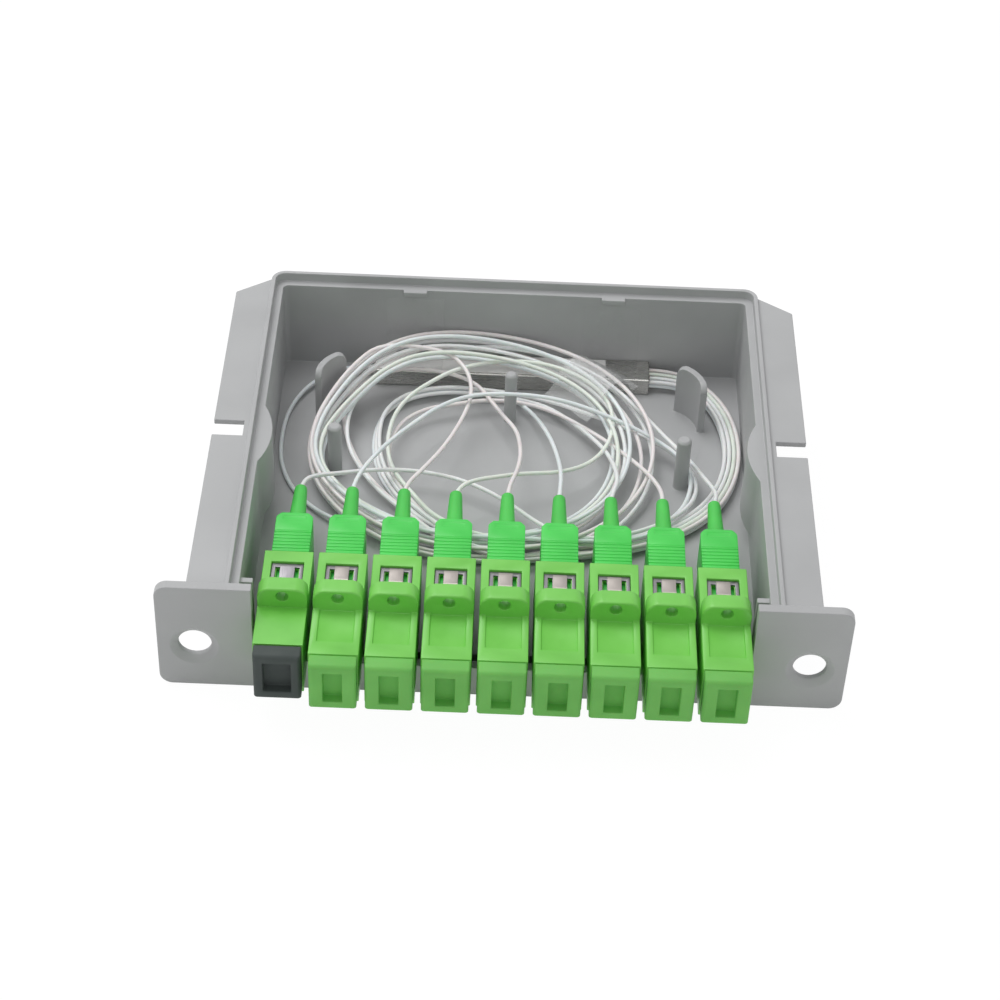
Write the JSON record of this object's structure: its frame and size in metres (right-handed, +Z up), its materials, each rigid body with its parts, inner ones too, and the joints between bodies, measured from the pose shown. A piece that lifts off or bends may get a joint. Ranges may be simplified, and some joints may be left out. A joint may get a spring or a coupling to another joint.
{
  "type": "plc fibre splitter",
  "caption": "Open card tray with a fibre splitter: capped adapters in the front panel, green connectors behind them, a coil of thin fibres and a slim steel splitter case.",
  "frame": {"origin": "middle of the tray's flat underside, half way from the panel's face to the tray's rear", "axes": "+X to the right along the panel, +Y from the panel to the tray's rear, +Z up out of the open tray"},
  "size_m": [0.13, 0.1132, 0.025],
  "materials": {
    "housing_grey": "satin moulded plastic",
    "adapter_green": "glossy, slightly yellow green",
    "cap_green": "satin, frosted face",
    "cap_black": "satin",
    "grip_green": "glossy emerald green",
    "boot_green": "satin soft rubber",
    "frame_green": "satin",
    "ceramic_white": "polished ceramic",
    "fibre_white": "smooth buffer",
    "case_steel": "bright rolled steel",
    "clip_steel": "stamped sheet",
    "adhesive": "cured adhesive",
    "label_white": "blank paper label",
    "clear_tape": "clear film",
    "chip_glass": "polished glass"
  },
  "bodies": {
    "module": {"housing": "housing_grey", "splitter_case": "case_steel", "case_seals": "adhesive", "case_label": "label_white", "wall_tapes": "clear_tape", "coil_tape": "clear_tape", "plc_chip": "chip_glass", "fibre_arrays": "chip_glass", "adapter_1": "adapter_green", "adapter_2": "adapter_green", "adapter_3": "adapter_green", "adapter_4": "adapter_green", "adapter_5": "adapter_green", "adapter_6": "adapter_green", "adapter_7": "adapter_green", "adapter_8": "adapter_green", "adapter_9": "adapter_green", "boot_1": "boot_green", "boot_2": "boot_green", "boot_3": "boot_green", "boot_4": "boot_green", "boot_5": "boot_green", "boot_6": "boot_green", "boot_7": "boot_green", "boot_8": "boot_green", "boot_9": "boot_green", "fibre_1": "fibre_white", "fibre_2": "fibre_white", "fibre_3": "fibre_white", "fibre_4": "fibre_white", "fibre_5": "fibre_white", "fibre_6": "fibre_white", "fibre_7": "fibre_white", "fibre_8": "fibre_white", "fibre_9": "fibre_white", "fibre_coil": "fibre_white", "fibre_bundle": "fibre_white", "fibre_input_tail": "fibre_white", "adapter_clips": "clip_steel", "plug_frames": "frame_green", "ferrules": "ceramic_white", "alignment_sleeves": "ceramic_white"},
    "cap_1": {"dust_cap_1": "cap_black"},
    "cap_2": {"dust_cap_2": "cap_green"},
    "cap_3": {"dust_cap_3": "cap_green"},
    "cap_4": {"dust_cap_4": "cap_green"},
    "cap_5": {"dust_cap_5": "cap_green"},
    "cap_6": {"dust_cap_6": "cap_green"},
    "cap_7": {"dust_cap_7": "cap_green"},
    "cap_8": {"dust_cap_8": "cap_green"},
    "cap_9": {"dust_cap_9": "cap_green"},
    "grip_1": {"plug_grip_1": "grip_green"},
    "grip_2": {"plug_grip_2": "grip_green"},
    "grip_3": {"plug_grip_3": "grip_green"},
    "grip_4": {"plug_grip_4": "grip_green"},
    "grip_5": {"plug_grip_5": "grip_green"},
    "grip_6": {"plug_grip_6": "grip_green"},
    "grip_7": {"plug_grip_7": "grip_green"},
    "grip_8": {"plug_grip_8": "grip_green"},
    "grip_9": {"plug_grip_9": "grip_green"}
  },
  "joints": [
    {"name": "cap_1_pull", "type": "slide", "parent": "module", "child": "cap_1", "axis": [0, -1, 0], "range_m": [0, 0.01]},
    {"name": "cap_2_pull", "type": "slide", "parent": "module", "child": "cap_2", "axis": [0, -1, 0], "range_m": [0, 0.01]},
    {"name": "cap_3_pull", "type": "slide", "parent": "module", "child": "cap_3", "axis": [0, -1, 0], "range_m": [0, 0.01]},
    {"name": "cap_4_pull", "type": "slide", "parent": "module", "child": "cap_4", "axis": [0, -1, 0], "range_m": [0, 0.01]},
    {"name": "cap_5_pull", "type": "slide", "parent": "module", "child": "cap_5", "axis": [0, -1, 0], "range_m": [0, 0.01]},
    {"name": "cap_6_pull", "type": "slide", "parent": "module", "child": "cap_6", "axis": [0, -1, 0], "range_m": [0, 0.01]},
    {"name": "cap_7_pull", "type": "slide", "parent": "module", "child": "cap_7", "axis": [0, -1, 0], "range_m": [0, 0.01]},
    {"name": "cap_8_pull", "type": "slide", "parent": "module", "child": "cap_8", "axis": [0, -1, 0], "range_m": [0, 0.01]},
    {"name": "cap_9_pull", "type": "slide", "parent": "module", "child": "cap_9", "axis": [0, -1, 0], "range_m": [0, 0.01]},
    {"name": "grip_1_pull", "type": "slide", "parent": "module", "child": "grip_1", "axis": [0, 1, 0], "range_m": [0, 0.0013]},
    {"name": "grip_2_pull", "type": "slide", "parent": "module", "child": "grip_2", "axis": [0, 1, 0], "range_m": [0, 0.0013]},
    {"name": "grip_3_pull", "type": "slide", "parent": "module", "child": "grip_3", "axis": [0, 1, 0], "range_m": [0, 0.0013]},
    {"name": "grip_4_pull", "type": "slide", "parent": "module", "child": "grip_4", "axis": [0, 1, 0], "range_m": [0, 0.0013]},
    {"name": "grip_5_pull", "type": "slide", "parent": "module", "child": "grip_5", "axis": [0, 1, 0], "range_m": [0, 0.0013]},
    {"name": "grip_6_pull", "type": "slide", "parent": "module", "child": "grip_6", "axis": [0, 1, 0], "range_m": [0, 0.0013]},
    {"name": "grip_7_pull", "type": "slide", "parent": "module", "child": "grip_7", "axis": [0, 1, 0], "range_m": [0, 0.0013]},
    {"name": "grip_8_pull", "type": "slide", "parent": "module", "child": "grip_8", "axis": [0, 1, 0], "range_m": [0, 0.0013]},
    {"name": "grip_9_pull", "type": "slide", "parent": "module", "child": "grip_9", "axis": [0, 1, 0], "range_m": [0, 0.0013]}
  ]
}
